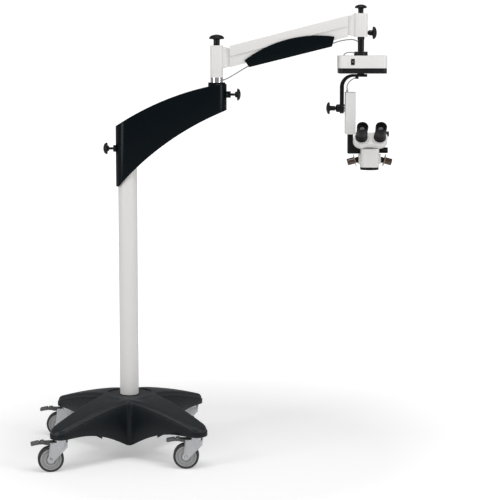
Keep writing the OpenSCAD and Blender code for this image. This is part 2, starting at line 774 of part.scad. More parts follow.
module objective_lens() color([0.4, 0.5, 0.6, 0.5]) stand() {
    post(lens_x, head_y, 1150, 1153.5, 28.5);
    intersection() {
        post(lens_x, head_y, 1142, 1150 + e, 25);
        translate([lens_x, head_y, 1250.5]) sphere(102, $fn = 180);
    }
}

module zoom_knob() color(black) stand() {
    bar_x(body_x[1] + 8.4, body_x[1] + 36, 11.6, head_y, zoom_z);
    bar_x(body_x[1] - 8, body_x[1] + 9, 4, head_y, zoom_z);
}

// Grip with a hub, a flange disc and a smoky cap; side = 1 on the right and -1 on the left
droop = 15;
module handle(side) translate([hub_x[side > 0 ? 1 : 0] + side * gap, head_y, hub_z])
    rotate([0, side * 90, 0]) {
    translate([0, 0, -14]) cylinder(h = 15, r = 6);
    cylinder(h = 8, r = 12);
    translate([0, 0, 8]) rotate([0, side * droop, 0]) {
        translate([0, 0, -4]) cylinder(h = 12, r = 10);
        translate([0, 0, 5]) cylinder(h = 2.5, r = 24.2);
        translate([0, 0, 7]) rotate_extrude() {
            square([11.5, 30]);
            square([13.5, 27]);
            translate([11.5, 27]) intersection() { circle(2); square(3); }
            square([11.5, 29]);
        }
    }
}
module handle_left() color(smoke) stand() handle(-1);
module handle_right() color(smoke) stand() handle(1);

// --- Binocular -----------------------------------------------------------

tube_root = [head_y - 46.5, 1273.5];     // where the eyepiece tubes leave their housings, in Y and Z
lobe_r = 31;
lobe_len = 34;
slot_r = 10;
slide_in = 9;                  // how far a tube moves inwards from where it stands
eye_x = [lens_x - eye_gap / 2, lens_x + eye_gap / 2];
ipd_at = [head_y - 25.7, 1285.5];   // axis of the eye distance knob, in Y and Z

// Frame of a tube: +Z runs along it towards the viewer's eye
module at_tube(x) translate([x, tube_root[0], tube_root[1]]) rotate([90 - eye_pitch, 0, 0]) children();

module binocular_body() color(paint) stand() {
    difference() {
        union() {
            for (x = eye_x) at_tube(x)
                translate([0, 0, -lobe_len]) cylinder(h = lobe_len, r = lobe_r);
            at_tube(lens_x)
                block([-eye_gap / 2, eye_gap / 2], [-26, 26], [1 - lobe_len, -6]);
            for (x = [[-34, -boss_half - 1], [boss_half + 1, 34]]) {
                bar_x(lens_x + x[0], lens_x + x[1], 15, hinge_y, hinge_z);
                at_tube(lens_x) block([x[0] + 1.5, x[1] - 1.5], [2, 24], [-62, -28]);
            }
        }
        difference() {
            for (x = eye_x) at_tube(x)
                translate([0, 0, 3 - lobe_len]) cylinder(h = lobe_len - 6, r = lobe_r - 3);
            bar_x(eye_x[1] + 19.5, 1040, 14, ipd_at[0], ipd_at[1]);
        }
        bar_x(eye_x[1] + 22.5, 1040, 11.5, ipd_at[0], ipd_at[1]);
        for (x = eye_x, s = [0, 1]) at_tube(x) {
            inward = x < lens_x ? 1 : -1;
            translate([inward * (s ? slide_in : -1), 0, -10]) cylinder(h = 20, r = slot_r + 0.4);
            block(inward > 0 ? [-1, slide_in] : [-slide_in, 1],
                [-slot_r - 0.4, slot_r + 0.4], [-10, 10]);
        }
        bar_x(eye_x[1], 1040, 3 + fit, ipd_at[0], ipd_at[1]);
    }
    bar_x(lens_x - 30, lens_x + 30, hinge_pin_r, hinge_y, hinge_z);
}

// Tube that slides along X in its housing for the eye distance
module eye_tube(x) at_tube(x) {
    translate([0, 0, -3 - gap - 3]) cylinder(h = 3, r = slot_r + 4);
    translate([0, 0, -3 - gap - 1]) cylinder(h = 6, r = slot_r);
    translate([0, 0, gap]) cylinder(h = 5.6, r = 24);
    translate([0, 0, 5.9]) cylinder(h = 40, r = 19);
}
module tube_left() color(black) stand() eye_tube(eye_x[0]);
module tube_right() color(black) stand() eye_tube(eye_x[1]);

// Eyepiece with its rubber eyecup: turns on the tube to set the dioptre
module eyepiece(x) at_tube(x) difference() {
    union() {
        translate([0, 0, 6.4]) cylinder(h = 22, r = 22.5);
        translate([0, 0, 28]) cylinder(h = 34, r = 21.5);
        translate([0, 0, 61]) cylinder(h = 19, r = 22.5);
    }
    translate([0, 0, 6]) cylinder(h = 42, r = 19 + fit);
    translate([0, 0, 60]) cylinder(h = 21, r = 17);
}
module eyepiece_left() color(black) stand() eyepiece(eye_x[0]);
module eyepiece_right() color(black) stand() eyepiece(eye_x[1]);

module ipd_knob() color(black) stand() {
    bar_x(eye_x[1] + 23, eye_x[1] + 37, 10.5, ipd_at[0], ipd_at[1]);
    bar_x(eye_x[1] + 12, eye_x[1] + 24, 3, ipd_at[0], ipd_at[1]);
}

// --- Nodes ---------------------------------------------------------------

base_cover();
base_skirt();
base_frame();
column_tube();
column_spindle();
mains_inlet();
castor_fork(1);  // castor_fork_1
castor_fork(2);  // castor_fork_2
castor_fork(3);  // castor_fork_3
castor_fork(4);  // castor_fork_4
castor_wheel(1);  // castor_wheel_1
castor_wheel(2);  // castor_wheel_2
castor_wheel(3);  // castor_wheel_3
castor_wheel(4);  // castor_wheel_4
castor_brake(1);  // castor_brake_1
castor_brake(2);  // castor_brake_2
castor_brake(3);  // castor_brake_3
castor_brake(4);  // castor_brake_4
swing_cover();
swing_beam();
swing_knob_rear();
swing_knob_front();
bracket_1();
bracket_1_collar();
bracket_1_pins();
bracket_1_knob();
lower_link();
upper_link();
cable_cover();
balance_spring();
arm_leads();
bracket_2();
bracket_2_pins();
bracket_2_knob();
side_knob();
spindle_sleeve();
light_case();
light_base();
light_switch();
light_spindle();
lamp_module();
light_lead();
carrier_arm();
tilt_knob();
optics_lead();
tilt_housing();
tilt_shaft();
optics_bracket();
optics_body();
focus_ring();
objective_lens();
zoom_knob();
handle_left();
handle_right();
binocular_body();
tube_left();
tube_right();
eyepiece_left();
eyepiece_right();
ipd_knob();
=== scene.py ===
import json
import math
import bmesh
import bpy
from mathutils import Matrix, Vector

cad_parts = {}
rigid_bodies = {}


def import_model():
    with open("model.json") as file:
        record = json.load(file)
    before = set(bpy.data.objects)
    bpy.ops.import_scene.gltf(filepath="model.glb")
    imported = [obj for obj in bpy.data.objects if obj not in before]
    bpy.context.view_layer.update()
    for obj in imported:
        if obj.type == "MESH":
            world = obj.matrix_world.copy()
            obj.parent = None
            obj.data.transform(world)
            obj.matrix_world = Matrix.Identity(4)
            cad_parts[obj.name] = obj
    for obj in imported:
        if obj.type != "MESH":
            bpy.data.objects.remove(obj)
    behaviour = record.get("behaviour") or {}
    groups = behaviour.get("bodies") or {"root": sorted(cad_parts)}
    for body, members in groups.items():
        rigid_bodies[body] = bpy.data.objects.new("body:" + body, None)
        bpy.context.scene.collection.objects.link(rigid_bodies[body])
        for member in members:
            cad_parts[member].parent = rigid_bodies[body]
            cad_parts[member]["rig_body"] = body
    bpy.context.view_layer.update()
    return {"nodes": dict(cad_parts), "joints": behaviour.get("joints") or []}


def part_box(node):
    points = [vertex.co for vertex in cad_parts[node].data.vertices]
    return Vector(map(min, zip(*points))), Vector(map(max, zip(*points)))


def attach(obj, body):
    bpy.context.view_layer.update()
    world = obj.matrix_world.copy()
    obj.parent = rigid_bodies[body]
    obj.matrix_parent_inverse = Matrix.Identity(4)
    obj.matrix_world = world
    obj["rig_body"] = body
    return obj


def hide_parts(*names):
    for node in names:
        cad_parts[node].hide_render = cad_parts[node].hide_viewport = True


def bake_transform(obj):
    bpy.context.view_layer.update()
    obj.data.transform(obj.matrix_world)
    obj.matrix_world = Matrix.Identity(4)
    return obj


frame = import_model()
joints = {j["name"]: j for j in frame["joints"]}
mm = 0.001


# --- Studio ----------------------------------------------------------------
# A white sweep with broad soft lights at both sides and above, so that round parts
# show long upright reflections. The lens is long and stands at the height of the arm.
camera_data = bpy.data.cameras.new("camera")
camera_data.sensor_width = 36
camera_data.lens = 106.7
camera_data.shift_y = -0.1173
camera = bpy.data.objects.new("camera", camera_data)
camera.location = (0.153, -5.85, 1.65)
camera.rotation_euler = (math.radians(90 - 5.82), 0, 0)
bpy.context.scene.collection.objects.link(camera)
bpy.context.scene.camera = camera
bpy.context.scene.view_settings.view_transform = "Standard"


def softbox(name, at, target, size, power):
    """Rectangular lamp of size (width, height) that faces its target."""
    lamp = bpy.data.lights.new(name, "AREA")
    lamp.shape = "RECTANGLE"
    lamp.size, lamp.size_y = size
    lamp.energy = power
    made = bpy.data.objects.new(name, lamp)
    made.location = at
    made.rotation_euler = (Vector(target) - Vector(at)).to_track_quat("-Z", "Y").to_euler()
    bpy.context.scene.collection.objects.link(made)


softbox("left_box", (-3.4, -2.6, 1.9), (-0.1, 0, 0.9), (1.0, 2.6), 46)
softbox("right_box", (3.5, -2.4, 2.0), (0.2, 0, 1.1), (1.0, 2.6), 46)
softbox("top_box", (0.3, -1.2, 4.3), (0, 0, 0.5), (2.6, 2.0), 52)

world = bpy.data.worlds.new("studio")
world.use_nodes = True
bpy.context.scene.world = world
sky = world.node_tree.nodes
room = sky["Background"]
room.inputs["Color"].default_value = (1, 1, 1, 1)
room.inputs["Strength"].default_value = 0.27
backdrop = sky.new("ShaderNodeBackground")
backdrop.inputs["Color"].default_value = (1, 1, 1, 1)
backdrop.inputs["Strength"].default_value = 1.1
seen = sky.new("ShaderNodeLightPath")
either = sky.new("ShaderNodeMixShader")
world.node_tree.links.new(seen.outputs["Is Camera Ray"], either.inputs["Fac"])
world.node_tree.links.new(room.outputs[0], either.inputs[1])
world.node_tree.links.new(backdrop.outputs[0], either.inputs[2])
world.node_tree.links.new(either.outputs[0], sky["World Output"].inputs["Surface"])

floor_mesh = bpy.data.meshes.new("floor")
floor_mesh.from_pydata([(-40, -40, 0), (40, -40, 0), (40, 40, 0), (-40, 40, 0)], [], [(0, 1, 2, 3)])
floor = bpy.data.objects.new("floor", floor_mesh)
bpy.context.scene.collection.objects.link(floor)
# To the camera the sheet glows everywhere: faintly close to the stand, so that a soft shadow
# still shows, and white further out, so that no horizon is seen. To all other rays it glows
# faintly too, so that it lights the stand a little from below though it is no lamp.
paper = bpy.data.materials.new("white_paper")
paper.use_nodes = True
paper_nodes, paper_link = paper.node_tree.nodes, paper.node_tree.links.new
sheet = paper_nodes["Principled BSDF"]
sheet.inputs["Base Color"].default_value = (0.88, 0.88, 0.88, 1)
sheet.inputs["Roughness"].default_value = 0.9
sheet.inputs["Specular IOR Level"].default_value = 0.1
sheet.inputs["Emission Color"].default_value = (1, 1, 1, 1)
straight = paper_nodes.new("ShaderNodeLightPath")
glow = paper_nodes.new("ShaderNodeMapRange")
glow.inputs["To Min"].default_value = 0.2
ground = paper_nodes.new("ShaderNodeNewGeometry")
away = paper_nodes.new("ShaderNodeVectorMath")
away.operation = "LENGTH"
fade = paper_nodes.new("ShaderNodeMapRange")
fade.inputs["From Min"].default_value = 0.7
fade.inputs["From Max"].default_value = 2.6
fade.inputs["To Min"].default_value = 0.36
fade.inputs["To Max"].default_value = 0.95
paper_link(ground.outputs["Position"], away.inputs[0])
paper_link(away.outputs["Value"], fade.inputs["Value"])
paper_link(fade.outputs["Result"], glow.inputs["To Max"])
paper_link(straight.outputs["Is Camera Ray"], glow.inputs["Value"])
paper_link(glow.outputs["Result"], sheet.inputs["Emission Strength"])
floor_mesh.materials.append(paper)


# --- Base ------------------------------------------------------------------
# A cast-iron cross carries the column and the castors. Two injection-moulded shells hide it:
# a skirt round the legs, and a domed cover that sits inside the skirt's rim.
def shader_group(name, inputs, outputs):
    """Empty node group with its named sockets: inputs are (name, kind, value)."""
    group = bpy.data.node_groups.new(name, "ShaderNodeTree")
    for label, kind, value in inputs:
        socket = group.interface.new_socket(name=label, in_out="INPUT", socket_type=kind)
        socket.default_value = value
    for label, kind in outputs:
        group.interface.new_socket(name=label, in_out="OUTPUT", socket_type=kind)
    return group, group.nodes.new("NodeGroupInput"), group.nodes.new("NodeGroupOutput")


def skin_group():
    """Slow drift of colour and gloss, and the fine grain of a moulded or sprayed skin."""
    group, given, out = shader_group(
        "moulded_skin",
        [("Light", "NodeSocketColor", (1, 1, 1, 1)), ("Dark", "NodeSocketColor", (0, 0, 0, 1)),
         ("Patch Scale", "NodeSocketFloat", 6), ("Grain Scale", "NodeSocketFloat", 900),
         ("Least Rough", "NodeSocketFloat", 0.3), ("Most Rough", "NodeSocketFloat", 0.5)],
        [("Color", "NodeSocketColor"), ("Roughness", "NodeSocketFloat"),
         ("Height", "NodeSocketFloat")])
    nodes, link = group.nodes, group.links.new
    place = nodes.new("ShaderNodeTexCoord")
    patch = nodes.new("ShaderNodeTexNoise")
    patch.inputs["Detail"].default_value = 4
    smear = nodes.new("ShaderNodeTexNoise")
    smear.inputs["Scale"].default_value = 31
    smear.inputs["Detail"].default_value = 5
    grain = nodes.new("ShaderNodeTexNoise")
    grain.inputs["Detail"].default_value = 2
    for noise in (patch, smear, grain):
        link(place.outputs["Object"], noise.inputs["Vector"])
    link(given.outputs["Patch Scale"], patch.inputs["Scale"])
    link(given.outputs["Grain Scale"], grain.inputs["Scale"])
    tint = nodes.new("ShaderNodeMix")
    tint.data_type = "RGBA"
    link(patch.outputs["Fac"], tint.inputs["Factor"])
    link(given.outputs["Dark"], tint.inputs["A"])
    link(given.outputs["Light"], tint.inputs["B"])
    gloss = nodes.new("ShaderNodeMapRange")
    gloss.inputs["From Min"].default_value = 0.3
    gloss.inputs["From Max"].default_value = 0.7
    link(smear.outputs["Fac"], gloss.inputs["Value"])
    link(given.outputs["Least Rough"], gloss.inputs["To Min"])
    link(given.outputs["Most Rough"], gloss.inputs["To Max"])
    link(tint.outputs["Result"], out.inputs["Color"])
    link(gloss.outputs["Result"], out.inputs["Roughness"])
    link(grain.outputs["Fac"], out.inputs["Height"])
    return group


def wear_group():
    """A tint that shows where edges are sharp and handled, broken up by a fine noise."""
    group, given, out = shader_group(
        "edge_wear",
        [("Color", "NodeSocketColor", (0, 0, 0, 1)), ("Worn", "NodeSocketColor", (1, 1, 1, 1)),
         ("Amount", "NodeSocketFloat", 0.3)],
        [("Color", "NodeSocketColor")])
    nodes, link = group.nodes, group.links.new
    edge = nodes.new("ShaderNodeNewGeometry")
    rim = nodes.new("ShaderNodeMapRange")
    rim.inputs["From Min"].default_value = 0.52
    rim.inputs["From Max"].default_value = 0.62
    link(edge.outputs["Pointiness"], rim.inputs["Value"])
    place = nodes.new("ShaderNodeTexCoord")
    rub = nodes.new("ShaderNodeTexNoise")
    rub.inputs["Scale"].default_value = 140
    link(place.outputs["Object"], rub.inputs["Vector"])
    broken = nodes.new("ShaderNodeMath")
    broken.operation = "MULTIPLY"
    link(rim.outputs["Result"], broken.inputs[0])
    link(rub.outputs["Fac"], broken.inputs[1])
    share = nodes.new("ShaderNodeMath")
    share.operation = "MULTIPLY"
    link(broken.outputs[0], share.inputs[0])
    link(given.outputs["Amount"], share.inputs[1])
    mix = nodes.new("ShaderNodeMix")
    mix.data_type = "RGBA"
    link(share.outputs[0], mix.inputs["Factor"])
    link(given.outputs["Color"], mix.inputs["A"])
    link(given.outputs["Worn"], mix.inputs["B"])
    link(mix.outputs["Result"], out.inputs["Color"])
    return group


skin = skin_group()
wear = wear_group()


def finish(name, light, dark, rough, patch=6, grain=900, bump=0.1, depth=0.1, worn=None,
           amount=0.3, **shader):
    """Material from two tints, a range of roughness and a grain; the rest are shader sockets."""
    made = bpy.data.materials.new(name)
    made.use_nodes = True
    nodes, link = made.node_tree.nodes, made.node_tree.links.new
    body = nodes["Principled BSDF"]
    for socket, value in shader.items():
        body.inputs[socket.replace("_", " ")].default_value = value
    look = nodes.new("ShaderNodeGroup")
    look.node_tree = skin
    look.inputs["Light"].default_value = (*light, 1)
    look.inputs["Dark"].default_value = (*dark, 1)
    look.inputs["Patch Scale"].default_value = patch
    look.inputs["Grain Scale"].default_value = grain
    look.inputs["Least Rough"].default_value, look.inputs["Most Rough"].default_value = rough
    colour = look.outputs["Color"]
    if worn:
        rub = nodes.new("ShaderNodeGroup")
        rub.node_tree = wear
        rub.inputs["Worn"].default_value = (*worn, 1)
        rub.inputs["Amount"].default_value = amount
        link(colour, rub.inputs["Color"])
        colour = rub.outputs["Color"]
    link(colour, body.inputs["Base Color"])
    link(look.outputs["Roughness"], body.inputs["Roughness"])
    raised = nodes.new("ShaderNodeBump")
    raised.inputs["Strength"].default_value = bump
    raised.inputs["Distance"].default_value = depth * mm
    link(look.outputs["Height"], raised.inputs["Height"])
    link(raised.outputs["Normal"], body.inputs["Normal"])
    return made


def piece(name, mesh, material, body, angle=38):
    """Object from a mesh, smooth up to an angle, in place on its body."""
    mesh.materials.clear()
    mesh.materials.append(material)
    for face in mesh.polygons:
        face.use_smooth = True
    mesh.set_sharp_from_angle(angle=math.radians(angle))
    made = bpy.data.objects.new(name, mesh)
    bpy.context.scene.collection.objects.link(made)
    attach(made, body)
    return made


def body_of(node):
    """Name of the body that a CAD node belongs to."""
    return frame["nodes"][node]["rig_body"]


def coat(node, material):
    """Gives a CAD node, whose shape is right as it is, its finish."""
    mesh = frame["nodes"][node].data
    mesh.materials.clear()
    mesh.materials.append(material)
    for face in mesh.polygons:
        face.material_index = 0


def weld(node):
    """Editable copy of a CAD node's mesh, with its seams welded and its flat faces joined."""
    work = bmesh.new()
    work.from_mesh(frame["nodes"][node].data)
    bmesh.ops.remove_doubles(work, verts=work.verts, dist=0.02 * mm)
    bmesh.ops.dissolve_limit(work, angle_limit=math.radians(0.5), verts=work.verts,
                             edges=work.edges)
    return work


def soften(node, radius, material, steps=3, least=32, where=None):
    """Stands for a CAD node with its outer edges rounded, as a moulding or casting has them."""
    work = weld(node)
    sharp = [e for e in work.edges if e.is_manifold and e.is_convex
             and e.calc_face_angle(0) > math.radians(least)
             and (where is None or where((e.verts[0].co + e.verts[1].co) / 2))]
    bmesh.ops.bevel(work, geom=sharp, offset=radius, offset_type="OFFSET", segments=steps,
                    profile=0.5, affect="EDGES", clamp_overlap=True, loop_slide=True)
    mesh = bpy.data.meshes.new(node + "_finished")
    work.to_mesh(mesh)
    work.free()
    made = piece(node + "_finished", mesh, material, body_of(node))
    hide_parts(node)
    return made


def loft(rings, closed=True, caps=False):
    """Mesh through rings of equally many points; caps closes the first and the last ring."""
    count = len(rings[0])
    faces = [(a * count + b, a * count + (b + 1) % count, (a + 1) * count + (b + 1) % count,
              (a + 1) * count + b)
             for a in range(len(rings) - (0 if closed else 1))
             for b in range(count)]
    faces = [tuple(v % (len(rings) * count) for v in f) for f in faces]
    if caps:
        faces += [tuple(reversed(range(count))),
                  tuple(range((len(rings) - 1) * count, len(rings) * count))]
    mesh = bpy.data.meshes.new("loft")
    mesh.from_pydata([p for ring in rings for p in ring], [], faces)
    work = bmesh.new()
    work.from_mesh(mesh)
    bmesh.ops.recalc_face_normals(work, faces=work.faces)
    work.to_mesh(mesh)
    work.free()
    return mesh


reach, leg_end, notch, fillet = 368 * mm, 43 * mm, 111 * mm, 19 * mm
tube_low, tube_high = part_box("column_tube")
column = Vector(((tube_low.x + tube_high.x) / 2, 0, 0))
column_r = (tube_high.x - tube_low.x) / 2
top_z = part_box("base_cover")[1].z
base_turn = math.radians(4)
diagonal = math.sqrt(0.5)
taper = math.asin((notch * diagonal - leg_end) / (reach - notch * diagonal))


def dome_z(r):
    """Height of the domed top at a distance from the column's axis."""
    flat, knee, crown, brow = 80 * mm, 165 * mm, 430 * mm, 2000 * mm
    slope = math.asin((knee - flat) / crown)
    if r <= flat:
        return top_z
    if r <= knee:
        return top_z - crown + math.sqrt(crown ** 2 - (r - flat) ** 2)
    middle = Vector((knee - brow * math.sin(slope),
                     top_z - crown * (1 - math.cos(slope)) - brow * math.cos(slope)))
    return middle.y + math.sqrt(brow ** 2 - (r - middle.x) ** 2)


def arch_z(r):
    """Height of the arch under the skirt."""
    radius, span, crown = 350 * mm, 330 * mm, 130 * mm
    return crown if r >= span else crown - radius + math.sqrt(radius ** 2 - (r - span) ** 2)


def leg_side(inset, steps=14):
    """Points from a notch's middle along one leg's side to its tip, drawn in by inset."""
    corner = fillet + inset
    opening = math.radians(45) + taper
    middle = Vector((notch, 0)) + Vector(((corner - inset) / math.sin(opening), 0))
    points = [middle + corner * Vector((-math.cos(a), math.sin(a)))
              for a in [k / 6 * (math.pi / 2 - opening) for k in range(7)]]
    points = [Matrix.Rotation(math.radians(-45), 2) @ p for p in points]
    end = leg_end - inset
    start_angle = -math.pi / 2 + taper
    tip = [Vector((reach, 0)) + end * Vector((math.cos(a), math.sin(a)))
           for a in [start_angle + k / 8 * -start_angle for k in range(9)]]
    between = [points[-1].lerp(tip[0], k / steps) for k in range(1, steps)]
    return points + between + tip


def outline(inset):
    """The whole plan of the base drawn in by inset, as one ring round the column."""
    half = leg_side(inset)
    other = [Vector((p.x, -p.y)) for p in reversed(half[1:-1])]
    leg = half + other
    return [Matrix.Rotation(base_turn + math.radians(45 + 90 * k), 2) @ p
            for k in range(4) for p in leg]


def place(ring, height):
    """Ring of plan points at the heights that a function of the radius gives."""
    return [(column.x + p.x, column.y + p.y, height(p.length)) for p in ring]


def rounded_rim(rim_r, rise, inset, steps=7):
    """Rings round a rim of the cover, from its upright wall over to its top."""
    rings = []
    for k in range(steps + 1):
        a = k / steps * math.pi / 2
        ring = outline(inset + rim_r * (1 - math.cos(a)))
        drop = rise * (1 - math.sin(a))
        rings.append(place(ring, lambda r: dome_z(r) - drop))
    return rings


cap_rim, cap_inset, rim_round = 17 * mm, 4 * mm, 15 * mm
charcoal = finish("charcoal_moulding", (0.013, 0.0175, 0.0215), (0.009, 0.0125, 0.016), (0.4, 0.5),
                  patch=5, grain=2300, bump=0.08, depth=0.04, worn=(0.09, 0.1, 0.1),
                  amount=0.4, Specular_IOR_Level=0.4)
skirt_grey = finish("skirt_moulding", (0.004, 0.0072, 0.0105), (0.002, 0.0042, 0.0065),
                    (0.32, 0.42), patch=5, grain=2300, bump=0.06, depth=0.04,
                    worn=(0.08, 0.09, 0.09), amount=0.4, Specular_IOR_Level=0.25)
iron = finish("painted_iron", (0.03, 0.03, 0.032), (0.015, 0.015, 0.016), (0.5, 0.75),
              patch=20, grain=600, bump=0.5, depth=0.3)
coat("base_frame", iron)


def cover_top(drop):
    """The cover's top inside its rounded rim: a strip of quads over each leg."""
    across = 10
    side = leg_side(cap_inset + rim_round)
    bore = column_r + 0.6 * mm
    crease = Vector((math.cos(math.radians(45)), -math.sin(math.radians(45))))
    inner = [crease * (bore + (side[0].length - bore) * k / 8) for k in range(8)]
    line = inner + side
    verts, faces = [], []
    for leg in range(4):
        turn = Matrix.Rotation(base_turn + math.radians(45 + 90 * leg), 2)
        first = len(verts)
        for n, p in enumerate(line):
            arc = max(0.0, min(1.0, 1 - (n - 7) / 12))
            half_angle = math.atan2(-p.y, p.x)
            for k in range(across + 1):
                t = 2 * k / across - 1
                straight = Vector((p.x, -p.y * t))
                bent = p.length * Vector((math.cos(half_angle * t), math.sin(half_angle * t)))
                spot = turn @ straight.lerp(bent, arc)
                verts.append((column.x + spot.x, spot.y, dome_z(spot.length) - drop))
        for n in range(len(line) - 1):
            for k in range(across):
                a = first + n * (across + 1) + k
                faces.append((a, a + across + 1, a + across + 2, a + 1))
    return verts, faces


def base_cover():
    """The domed cover: top, rounded rim and wall, thickened to a shell."""
    verts, faces = cover_top(0)
    rings = [place(outline(cap_inset), lambda r: dome_z(r) - cap_rim)]
    rings += rounded_rim(rim_round, rim_round, cap_inset)
    wall = loft(rings, closed=False)
    work = bmesh.new()
    work.from_mesh(wall)
    top = bpy.data.meshes.new("cover_top")
    top.from_pydata(verts, [], faces)
    work.from_mesh(top)
    bmesh.ops.remove_doubles(work, verts=work.verts, dist=0.2 * mm)
    bmesh.ops.recalc_face_normals(work, faces=work.faces)
    if sum(f.normal.z * f.calc_area() for f in work.faces) < 0:
        bmesh.ops.reverse_faces(work, faces=work.faces)
    mesh = bpy.data.meshes.new("base_cover_shell")
    work.to_mesh(mesh)
    work.free()
    shell = bpy.data.objects.new("cover_work", mesh)
    bpy.context.scene.collection.objects.link(shell)
    thick = shell.modifiers.new("thickness", "SOLIDIFY")
    thick.thickness = 3 * mm
    thick.offset = -1
    done = bpy.data.meshes.new_from_object(
        shell.evaluated_get(bpy.context.evaluated_depsgraph_get()))
    bpy.data.objects.remove(shell)
    made = piece("base_cover_shell", done, charcoal, "root", angle=50)
    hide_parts("base_cover")


def base_skirt():
    """The skirt's wall, with a rounded shoulder under the cover's rim and an arched foot."""
    def shoulder(drop):
        return lambda r: dome_z(r) - cap_rim - drop
    wall = [(0, lambda r: arch_z(r) + 1 * mm),
            (0, lambda r: 0.5 * (arch_z(r) + dome_z(r) - cap_rim)),
            (0, shoulder(2.4 * mm)), (0.5 * mm, shoulder(1.0 * mm)), (1.2 * mm, shoulder(0.3 * mm)),
            (2.4 * mm, shoulder(0)), (5.8 * mm, shoulder(0)), (6 * mm, shoulder(0.4 * mm)),
            (6 * mm, lambda r: arch_z(r) + 0.8 * mm), (5.2 * mm, arch_z), (0.8 * mm, arch_z)]
    mesh = loft([place(outline(inset), height) for inset, height in wall])
    made = piece("base_skirt_shell", mesh, skirt_grey, "root", angle=50)
    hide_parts("base_skirt")


base_cover()
base_skirt()

inlet_black = finish("inlet_plastic", (0.018, 0.018, 0.02), (0.01, 0.01, 0.012), (0.35, 0.5),
                     bump=0.2)
soften("mains_inlet", 0.8 * mm, inlet_black)


# --- Column ----------------------------------------------------------------
# A powder-coated steel tube pressed into the base. A turned spindle in its top carries
# the swing arm, and a thin black ring round its foot, at the joint with the base cover, is
# painted shade for the contact shadow there.
def to_axis(origin, axis):
    """Matrix that puts +Z on an axis through a point."""
    turn = Vector((0, 0, 1)).rotation_difference(Vector(axis)).to_matrix().to_4x4()
    return Matrix.Translation(Vector(origin)) @ turn


def lathe(name, profile, origin, axis, material, body, steps=96, angle=38):
    """Turned piece: a closed profile of (radius, height) points revolved about an axis."""
    where = to_axis(origin, axis)
    on_axis = [r < 1e-7 for r, h in profile]
    verts, rows = [], []
    for (r, h), single in zip(profile, on_axis):
        rows.append(len(verts))
        turns = 1 if single else steps
        verts += [where @ Vector((r * math.cos(2 * math.pi * k / steps),
                                  r * math.sin(2 * math.pi * k / steps), h))
                  for k in range(turns)]
    faces = []
    count = len(profile)
    for a in range(count):
        b = (a + 1) % count
        if on_axis[a] and on_axis[b]:
            continue
        for k in range(steps):
            n = (k + 1) % steps
            ring = [rows[a] + (0 if on_axis[a] else k), rows[a] + (0 if on_axis[a] else n),
                    rows[b] + (0 if on_axis[b] else n), rows[b] + (0 if on_axis[b] else k)]
            faces.append(tuple(dict.fromkeys(ring)))
    mesh = bpy.data.meshes.new(name)
    mesh.from_pydata(verts, [], faces)
    work = bmesh.new()
    work.from_mesh(mesh)
    bmesh.ops.recalc_face_normals(work, faces=work.faces)
    work.to_mesh(mesh)
    work.free()
    return piece(name, mesh, material, body, angle)


def corner(x, y, r, start, steps=5):
    """Quarter round of a profile about (x, y), anticlockwise from an angle in degrees."""
    return [(x + r * math.cos(math.radians(start + 90 * k / steps)),
             y + r * math.sin(math.radians(start + 90 * k / steps))) for k in range(steps + 1)]


white_paint = finish("white_powder_coat", (0.85, 0.84, 0.825), (0.79, 0.78, 0.765), (0.3, 0.42),
                     patch=4, grain=420, bump=0.16, depth=0.08, Coat_Weight=0.15,
                     Coat_Roughness=0.2)
steel = finish("ground_steel", (0.52, 0.52, 0.53), (0.4, 0.4, 0.41), (0.18, 0.34), patch=14,
               grain=1500, bump=0.2, depth=0.03, Metallic=1.0)
coat("column_tube", white_paint)
coat("column_spindle", steel)
# Black rubber for the eyecups; the same black also makes the ring round the column's foot, which is
# painted shade.
rubber_and_shade_black = finish("black_rubber", (0.011, 0.011, 0.012), (0.006, 0.006, 0.007), (0.5, 0.7),
                      patch=12, grain=1200, bump=0.2, depth=0.06, Specular_IOR_Level=0.25)
# A thin black ring where the tube meets the base cover: painted shade for the contact shadow at
# that joint.
lathe("column_foot_shade_ring",
      [(column_r + 0.1 * mm, -1 * mm)] + corner(column_r + 1.6 * mm, 0.6 * mm, 1.6 * mm, -60, 6)
      + [(column_r + 0.1 * mm, 2.4 * mm)],
      (column.x, 0, top_z), (0, 0, 1), rubber_and_shade_black, "root")


# --- Castors ---------------------------------------------------------------
# Twin-bearing swivel castors: a pressed and zinc-plated fork, a moulded wheel with a soft
# tread on a grey rim, and a two-part brake pedal that is pressed by foot.
zinc = finish("zinc_plate", (0.62, 0.63, 0.65), (0.45, 0.46, 0.48), (0.22, 0.4), patch=26,
              grain=1400, bump=0.25, depth=0.04, Metallic=1.0)
tread_grey = finish("tread_rubber", (0.035, 0.036, 0.038), (0.022, 0.023, 0.025), (0.6, 0.8),
                    patch=30, grain=800, bump=0.4, depth=0.1, worn=(0.2, 0.19, 0.18), amount=0.4)
rim_grey = finish("wheel_rim", (0.42, 0.42, 0.425), (0.33, 0.33, 0.335), (0.35, 0.5), patch=20,
                  grain=1000, bump=0.2, depth=0.05)
pedal_grey = finish("pedal_nylon", (0.075, 0.078, 0.082), (0.05, 0.052, 0.056), (0.35, 0.5),
                    patch=18, grain=1300, bump=0.3, depth=0.06, worn=(0.25, 0.25, 0.25),
                    amount=0.5)
lever_grey = finish("pedal_pad", (0.13, 0.13, 0.135), (0.1, 0.1, 0.105), (0.45, 0.6), patch=18,
                    grain=1300, bump=0.3, depth=0.06)


def hex_bolt(name, at, axis, across, height, material, body):
    """Hexagon head with a chamfered crown."""
    r = across / math.sqrt(3)
    lathe(name, [(0, 0), (r, 0), (r, height * 0.75), (r * 0.84, height), (0, height)],
          at, axis, material, body, steps=6, angle=20)


